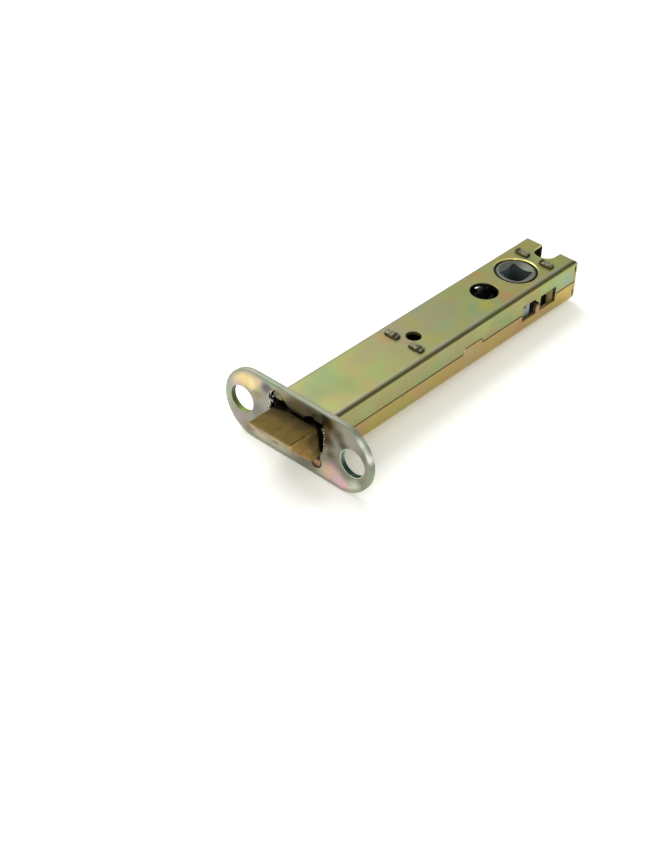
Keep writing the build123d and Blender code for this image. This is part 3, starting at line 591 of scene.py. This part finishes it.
def dull_brass():
    """Brushed along the throw, painted dark and brown on top and lighter and more golden on its sides
    and bevel for how light falls, with painted highlights and shadow.
    """
    s = Shader("dull_brass")
    lines = s.noise(0.45, stretch=(0.02, 1, 1), detail=4.0)
    slow = s.noise(4.0, detail=3.0)
    tone = s.total(slow, s.scaled(lines, -0.16, 0.16))
    colour = s.mix(s.ramp(tone, LIT_NOSE_BRASS), s.ramp(tone, LIT_SIDE_BRASS), s.facing(1))
    colour = s.mix(colour, s.ramp(tone, SHADED_TOP_BRASS), s.facing(2))
    colour = s.tinted(colour, BOLT_TONES_AND_LIGHT)
    # Painted highlight along the rounded edge between top and side
    ridge_highlight = s.times(s.band(s.y, -BOLT_SIDE_Y, 0.55, 0.15), s.above(s.z, bolt_high.z - 0.6))
    colour = s.mix(colour, linear(RIDGE_HIGHLIGHT_BRASS), s.times(ridge_highlight, 0.8))
    # Lighter brass along the nose's top edge, partly wear and partly a painted highlight
    tip = s.times(s.above(s.z, bolt_high.z - 0.8), s.below(s.x, bolt_low.x + 0.9))
    colour = s.mix(colour, linear(TIP_WEAR_AND_HIGHLIGHT), s.times(tip, 0.7))

    ring = s.spot(DENT, DENT_R, soft=0.5)
    # Painted shadow next to the forend, on the top and in a slanting band on the side, with painted
    # shade growing towards the top and rear
    back = s.times(s.larger(s.minus(s.y, 2.0), 0.0), 0.28)
    above = s.scaled(s.total(s.x, back), 1.0, 0.05, -0.6, -0.1)
    low = s.times(s.z, 0.22)
    rising = s.total(s.x, s.times(s.z, 0.5))
    side_shadow = s.times(s.scaled(s.total(s.x, low), 1.0, 0.04, 0.5, 0.9),
                     s.scaled(rising, 1.1, 0.6, -2.0, 1.5, smooth=True))
    on_top = s.facing(2)
    shade = s.times(
        s.total(s.scaled(lines, 0.76, 1.24), s.scaled(ring, 0.0, -0.4)),
        s.total(s.times(above, on_top), s.times(side_shadow, s.minus(1.0, on_top))),
        s.painted_corner_shade(0.5, 0.6),
    )
    s.put("Base Color", s.shaded(colour, shade))

    near_plate = s.scaled(s.x, 0.0, 1.0, -6.5, -1.5, smooth=True)
    metallic = s.larger(s.scaled(near_plate, 1.0, 0.35), s.scaled(on_top, 0.0, 0.45))
    s.put("Metallic", s.times(metallic, s.scaled(ridge_highlight, 1.0, 0.25)))
    s.put("Roughness", s.scaled(lines, 0.26, 0.42))
    s.relief(s.total(lines, s.scaled(ring, 0.0, -3.0)), 0.02, edge=0.35)
    return s.material


bolt_finish = dull_brass()


def sintered_base(s):
    """Pressed and plated powder metal: fine pores and a dull sheen."""
    pores = s.noise(0.3, detail=3.0)
    s.put("Metallic", 0.7)
    s.put("Roughness", s.scaled(pores, 0.42, 0.56))
    s.relief(pores, 0.015, edge=0.25)
    return s.total(s.noise(4.0, detail=2.0), s.scaled(pores, -0.15, 0.15))


def follower_metal():
    """Grey, slate blue inside the square, with painted shade in the groove round the face, in the dish
    and deep in the square, and painted lighter to the front.
    """
    s = Shader("grey_sintered")
    tone = sintered_base(s)
    face = s.ramp(tone, [(0.3, "7E8076"), (0.5, "868778"), (0.7, "7C827C")])
    slate = s.ramp(tone, [(0.3, "7C8C90"), (0.5, "8C9C9C"), (0.7, "809094")])
    height = s.size_of(s.z)
    deep = s.scaled(height, 1.0, 0.0, HALF_H - 1.6, HALF_H - 0.7, smooth=True)
    around = s.length(s.minus(s.x, BACKSET), s.y)
    cone = s.band(height, HALF_H - 0.9, 0.5, 0.25)
    rear = s.times(s.scaled(s.x, 0.0, 0.35, BACKSET + 1, BACKSET + 5), deep)
    # Painted shade and light: dark in the groove and towards the face's edge, in the dish, at the rear
    # and deep in the square, lighter to the front
    shade = s.times(
        s.scaled(around, 1.0, 0.16, FACE_R - 0.1, FACE_R + 0.05),
        s.scaled(around, 1.0, 0.6, FACE_R - 1.0, FACE_R - 0.1, smooth=True),
        s.scaled(cone, 1.0, 0.7),
        s.scaled(s.x, 1.35, 0.7, BACKSET - 5, BACKSET + 5),
        s.minus(1.0, rear),
        s.scaled(height, 0.48, 1.0, 0.0, HALF_H - 1.5, smooth=True),
    )
    s.put("Base Color", s.shaded(s.mix(face, slate, deep), shade))
    return s.material


def shoe_metal():
    """Pale grey, with painted shade further in from the case's wall."""
    s = Shader("pale_sintered")
    tone = sintered_base(s)
    colour = s.ramp(tone, [(0.3, "98A4A4"), (0.5, "A8AEAA"), (0.7, "9AA8A4")])
    # Painted shade further in from the case's wall
    near = s.scaled(s.size_of(s.y), 0.2, 1.0, INNER_W - 0.6, INNER_W - 0.35)
    s.put("Base Color", s.shaded(colour, near))
    return s.material


follower_finish = follower_metal()
shoe_finish = shoe_metal()


STRIP_TONES = [(0.35, "8A8458"), (0.5, "928A62"), (0.62, "847E5C")]
PEENED_TONES = [(0.32, "3C3A26"), (0.46, "6E6A4C"), (0.56, "85826A"), (0.68, "A09C86")]
# Painted light on the strip where it shows through a window
SHOWN_LIGHT = "ECD890"


def pressed_strip(name, lit_from):
    """Plated strip, peened over outside the case, with painted shade inside it up to lit_from in Y and
    painted light beyond.
    """
    s = Shader(name)
    height = s.size_of(s.z)
    outside = s.scaled(height, 0.0, 1.0, HALF_H - 0.1, HALF_H + 0.1)
    between = s.below(height, INNER_H)
    deep = s.times(s.below(s.size_of(s.y), lit_from), between)
    shown = s.times(s.below(deep, 0.5), between)
    colour = s.mix(s.ramp(s.noise(2.5, detail=3.0), STRIP_TONES),
                   s.ramp(s.noise(0.7, detail=4.0), PEENED_TONES), outside)
    colour = s.mix(colour, linear(SHOWN_LIGHT), s.times(shown, 0.9))
    # Painted shade inside the case and in corners, and none where the strip shows
    shade = s.times(s.larger(s.painted_corner_shade(0.7, 0.15), shown), s.scaled(deep, 1.0, 0.12))
    s.put("Base Color", s.shaded(colour, shade))

    grain = s.noise(0.2, detail=3.0)
    dents = s.noise(0.8, detail=2.0)
    s.put("Metallic", s.scaled(s.larger(deep, shown), 0.8, 0.0))
    s.put("Specular IOR Level", s.scaled(deep, 0.5, 0.0))
    s.put("Roughness", s.scaled(grain, 0.36, 0.52))
    s.relief(s.total(s.scaled(grain, 0.0, 0.3), s.times(dents, outside)), 0.3, edge=0.2)
    return s.material


def spring_wire():
    """Wire with fine marks, slow changes of tone and painted shade in its corners."""
    s = Shader("spring_wire")
    marks = s.noise(0.2, detail=4.0)
    tone = s.total(s.noise(5.0, detail=2.0), s.scaled(marks, -0.2, 0.2))
    colour = s.ramp(tone, [(0.3, "5A5C5E"), (0.7, "7C7E80")])
    s.put("Base Color", s.shaded(colour, s.painted_corner_shade(1.0, 0.45)))
    s.put("Metallic", 1.0)
    s.put("Roughness", s.scaled(marks, 0.24, 0.4))
    s.relief(marks, 0.012, edge=0.2)
    return s.material


# The rear bulkhead's painted light reaches further in, because it shows through the rear side window
REAR_LIT_FROM = 7.3
strip_finish = pressed_strip("plated_strip", INNER_W + 1)
rear_finish = pressed_strip("plated_rear_strip", REAR_LIT_FROM)
spring_finish = spring_wire()


def nylon():
    """Black and fine-grained."""
    s = Shader("black_nylon")
    grain = s.noise(0.4, detail=3.0)
    s.put("Base Color", s.ramp(grain, [(0.3, "141414"), (0.7, "232323")]))
    s.put("Roughness", s.scaled(grain, 0.4, 0.6))
    s.relief(grain, 0.01)
    return s.material


washer_finish = nylon()

FINISHES = {
    "forend_plate": forend_finish, "upper_case": upper_finish, "lower_case": lower_finish,
    "mid_bulkhead": strip_finish, "rear_bulkhead": rear_finish, "latch_bolt": bolt_finish,
    "bolt_tail": strip_finish, "tail_pin": strip_finish, "spring_cup": strip_finish,
    "cross_head": strip_finish, "left_arm": strip_finish, "right_arm": strip_finish,
    "left_shoe": shoe_finish, "right_shoe": shoe_finish, "shoe_rivets": strip_finish,
    "follower": follower_finish, "upper_washer": washer_finish, "lower_washer": washer_finish,
}
for node, finish in FINISHES.items():
    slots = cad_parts[node].data.materials
    slots.clear()
    slots.append(finish)


def new_object(name, form, finish):
    """An object in the scene from a bmesh, which is freed."""
    mesh = bpy.data.meshes.new(name)
    form.to_mesh(mesh)
    form.free()
    mesh.materials.append(finish)
    made = bpy.data.objects.new(name, mesh)
    bpy.context.scene.collection.objects.link(made)
    return made


# Springs with closed and ground ends. CLOSED_PITCH is the rise of a closed turn as a share of the
# wire
RING_POINTS = 12
STEPS_PER_TURN = 32
CLOSED_TURNS = 1.1
CLOSED_PITCH = 0.98


def spring_form(start, end, radius, wire, turns):
    """A swept coil whose end turns lie close and are ground flat."""
    form = bmesh.new()
    span = end - start - wire
    free_turns = turns - 2*CLOSED_TURNS
    pitch = (span - 2*CLOSED_TURNS*wire*CLOSED_PITCH)/free_turns
    rings = []
    for i in range(int(turns*STEPS_PER_TURN) + 1):
        turn = i/STEPS_PER_TURN
        closed = min(turn, CLOSED_TURNS) + max(0.0, turn - CLOSED_TURNS - free_turns)
        opened = max(0.0, min(turn - CLOSED_TURNS, free_turns))
        along = start + wire/2 + closed*wire*CLOSED_PITCH + opened*pitch
        angle = 2*math.pi*turn
        outward = Vector((0, math.cos(angle), math.sin(angle)))
        ring = []
        for k in range(RING_POINTS):
            around = 2*math.pi*k/RING_POINTS
            x = along + wire/2*math.sin(around)
            place = outward*(radius + wire/2*math.cos(around))
            x = min(max(x, start), end)
            ring.append(form.verts.new((x*MM, place.y*MM, (place.z + AXIS_Z)*MM)))
        rings.append(ring)
    for a, b in zip(rings, rings[1:]):
        for k in range(RING_POINTS):
            n = (k + 1) % RING_POINTS
            form.faces.new((a[k], a[n], b[n], b[k]))
    form.faces.new(rings[0][::-1])
    form.faces.new(rings[-1])
    bmesh.ops.recalc_face_normals(form, faces=form.faces[:])
    for face in form.faces:
        face.smooth = len(face.verts) == 4
    return form


def make_spring(node, body, wire, turns):
    """Stands for one CAD spring. It rides the body that its fixed end sits on."""
    low, high = millimetres(node)
    radius = (high.y - low.y)/2 - wire/2
    made = new_object(node + "_wire", spring_form(low.x, high.x, radius, wire, turns), spring_finish)
    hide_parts(node)
    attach(made, body)
    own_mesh(made)


make_spring("lever_spring", "case", wire=1.3, turns=7.5)
make_spring("bolt_spring", "retractor", wire=0.9, turns=8.5)


# Burrs that staking and shearing raised: place, half sizes and lean from Z in degrees
SLOT_Y = HALF_W + 0.35
SEED_STEP = 3.1
BURRS = {
    "burr_left": [
        ((0, 10.7, 9.1), (0.32, 0.3, 1.05), 38), ((0, 11.75, 7.3), (0.32, 0.3, 0.9), 15),
        ((0, 9.75, 7.9), (0.3, 0.24, 0.45), 10), ((0, 10.9, 6.1), (0.22, 0.2, 0.45), 80),
        ((0, 10.95, 5.0), (0.34, 0.28, 1.0), -30), ((0, 11.5, 2.9), (0.3, 0.3, 0.55), -40),
        ((0, 12.1, 1.9), (0.2, 0.2, 0.4), -40), ((0, 11.9, 4.4), (0.16, 0.14, 0.3), 0),
    ],
    "burr_right": [
        ((0, -SLOT_Y + 0.35, 6.2), (0.24, 0.18, 0.34), 10),
        ((0, -SLOT_Y + 0.2, 5.2), (0.3, 0.22, 0.34), 20),
        ((0, -SLOT_Y, 4.3), (0.22, 0.16, 0.24), 10),
        ((0, -SLOT_Y - 0.1, 3.3), (0.32, 0.24, 0.36), -20),
        ((0, -SLOT_Y, 2.3), (0.26, 0.2, 0.3), 15),
        ((0, -SLOT_Y - 0.15, 1.3), (0.3, 0.22, 0.3), -10),
        ((0, -SLOT_Y - 0.2, 0.2), (0.22, 0.18, 0.24), 0),
        ((0, -SLOT_Y - 0.1, -0.8), (0.32, 0.24, 0.36), 15),
        ((0, -SLOT_Y, -1.9), (0.26, 0.2, 0.3), 0),
        ((0, -SLOT_Y + 0.1, -3.0), (0.2, 0.16, 0.3), 0),
    ],
    "seam_burr": [
        ((SEAM_STEP_START + 0.5, -HALF_W, 0.5), (0.22, 0.1, 0.7), 0),
        ((SEAM_STEP_START + 0.9, -HALF_W, 1.2), (0.24, 0.1, 0.24), 0),
        ((BACKSET + 9.2, -HALF_W, -0.5), (0.3, 0.1, 0.28), 0),
    ],
}


def burr_form(lumps, seed):
    """Small ragged lumps of raised metal, half sunk in the surface that they stand on."""
    form = bmesh.new()
    for place, half, lean in lumps:
        lump = bmesh.ops.create_icosphere(form, subdivisions=3, radius=1.0)["verts"]
        turn = Matrix.Rotation(math.radians(lean), 3, "X")
        for vert in lump:
            rough = 1.0 + 0.3*noise.noise(vert.co*1.3 + Vector((seed, place[1], place[2])))
            rough += 0.15*noise.noise(vert.co*4.0 + Vector((place[1], place[2], seed)))
            flat = Vector([v*size for v, size in zip(vert.co, half)])
            vert.co = (turn @ (flat*rough) + Vector(place))*MM
    for face in form.faces:
        face.smooth = True
    return form


def burr_finish():
    """Bright torn metal."""
    s = Shader("raised_metal")
    grain = s.noise(0.35, detail=3.0)
    s.put("Base Color", s.ramp(grain, [(0.3, "7C866C"), (0.5, "B8BEAA"), (0.7, "F0F2EA")]))
    s.put("Metallic", 1.0)
    s.put("Roughness", s.scaled(grain, 0.16, 0.32))
    s.relief(grain, 0.02, edge=0.05)
    return s.material


raised = burr_finish()
for seed, (name, lumps) in enumerate(BURRS.items()):
    burr = new_object(name, burr_form(lumps, SEED_STEP*seed), raised)
    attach(burr, "case")


# The floor is grey to the light that it throws back and white to the camera
FLOOR_GLOW = 0.25
FLOOR_GREY = (0.86, 0.86, 0.86, 1)
FLOOR_WHITE = (1.0, 1.0, 1.0, 1)
FLOOR_TINT = (1.0, 0.99, 0.78, 1)


def make_floor():
    """A pale floor under the two places that the latch rests on. It is white where no shadow falls."""
    touch_x, touch_z = forend_high.x, forend_low.z
    slope = (rear_low.z - touch_z)/(rear_high.x - touch_x)
    form = bmesh.new()
    half = FLOOR_SIZE/2
    corners = []
    for x, y in ((-half, -half), (half, -half), (half, half), (-half, half)):
        z = touch_z + slope*(x - touch_x) - FLOOR_TOUCH_GAP
        corners.append(form.verts.new((x*MM, y*MM, z*MM)))
    form.faces.new(corners)
    s = Shader("pale_floor")
    path = s.node("ShaderNodeLightPath")
    seen = s.larger(path.outputs["Is Camera Ray"], path.outputs["Is Glossy Ray"])
    seen = s.larger(seen, path.outputs["Is Transmission Ray"])
    s.put("Base Color", s.mix(FLOOR_GREY, FLOOR_WHITE, seen))
    s.put("Roughness", 0.9)
    s.put("Specular IOR Level", 0.0)
    s.put("Emission Color", FLOOR_TINT)
    s.put("Emission Strength", s.times(seen, FLOOR_GLOW))
    new_object("floor", form, s.material)


make_floor()


# Surroundings: each zone is a direction, the degrees from it to which it is full and to which it
# fades, and how bright it is
SKY = 0.62
DUSK = ((0.696, -0.544, 0.469), 20, 42, 0.06)
WINDOW = ((-0.62, -0.5, 0.6), 10, 22, 2.6)


def make_world():
    """Soft surroundings with a dark zone low on the right and a window behind the camera."""
    world = bpy.data.worlds.new("studio")
    world.use_nodes = True
    tree = world.node_tree
    background = tree.nodes["Background"]
    direction = tree.nodes.new("ShaderNodeTexCoord").outputs["Generated"]
    strength = SKY
    for toward, full, edge, level in (DUSK, WINDOW):
        dot = tree.nodes.new("ShaderNodeVectorMath")
        dot.operation = "DOT_PRODUCT"
        tree.links.new(direction, dot.inputs[0])
        dot.inputs[1].default_value = Vector(toward).normalized()
        zone = tree.nodes.new("ShaderNodeMapRange")
        zone.interpolation_type = "SMOOTHSTEP"
        zone.inputs["From Min"].default_value = math.cos(math.radians(edge))
        zone.inputs["From Max"].default_value = math.cos(math.radians(full))
        tree.links.new(dot.outputs["Value"], zone.inputs["Value"])
        blend = tree.nodes.new("ShaderNodeMix")
        tree.links.new(zone.outputs[0], blend.inputs[0])
        if isinstance(strength, float):
            blend.inputs[2].default_value = strength
        else:
            tree.links.new(strength, blend.inputs[2])
        blend.inputs[3].default_value = level
        strength = blend.outputs[0]
    background.inputs["Color"].default_value = (1, 1, 1, 1)
    tree.links.new(strength, background.inputs["Strength"])
    bpy.context.scene.world = world


make_world()


def area_light(name, place, aim, size, power):
    """A rectangular lamp at place that shines towards aim."""
    data = bpy.data.lights.new(name, "AREA")
    data.shape = "RECTANGLE"
    data.size, data.size_y = (v*MM for v in size)
    data.energy = power
    lamp = bpy.data.objects.new(name, data)
    lamp.location = Vector(place)*MM
    lamp.rotation_euler = (Vector(aim) - Vector(place)).to_track_quat("-Z", "Y").to_euler()
    bpy.context.scene.collection.objects.link(lamp)


area_light("key", place=(150, 500, 700), aim=(60, 0, 0), size=(700, 500), power=5.0)


def make_camera():
    """The camera that was fitted to the photo."""
    data = bpy.data.cameras.new("camera")
    data.sensor_width = SENSOR
    data.lens = FOCAL_PIXELS*SENSOR/FRAME_HEIGHT
    data.clip_start, data.clip_end = CLIP_METRES
    camera = bpy.data.objects.new("camera", data)
    forward = Vector(FORWARD).normalized()
    right = Vector(RIGHT)
    right = (right - forward*right.dot(forward)).normalized()
    up = right.cross(forward)
    turn = Matrix((right, up, -forward)).transposed().to_4x4()
    camera.matrix_world = Matrix.Translation(Vector(EYE)*MM) @ turn
    bpy.context.scene.collection.objects.link(camera)
    bpy.context.scene.camera = camera


make_camera()
bpy.context.scene.view_settings.view_transform = "Standard"
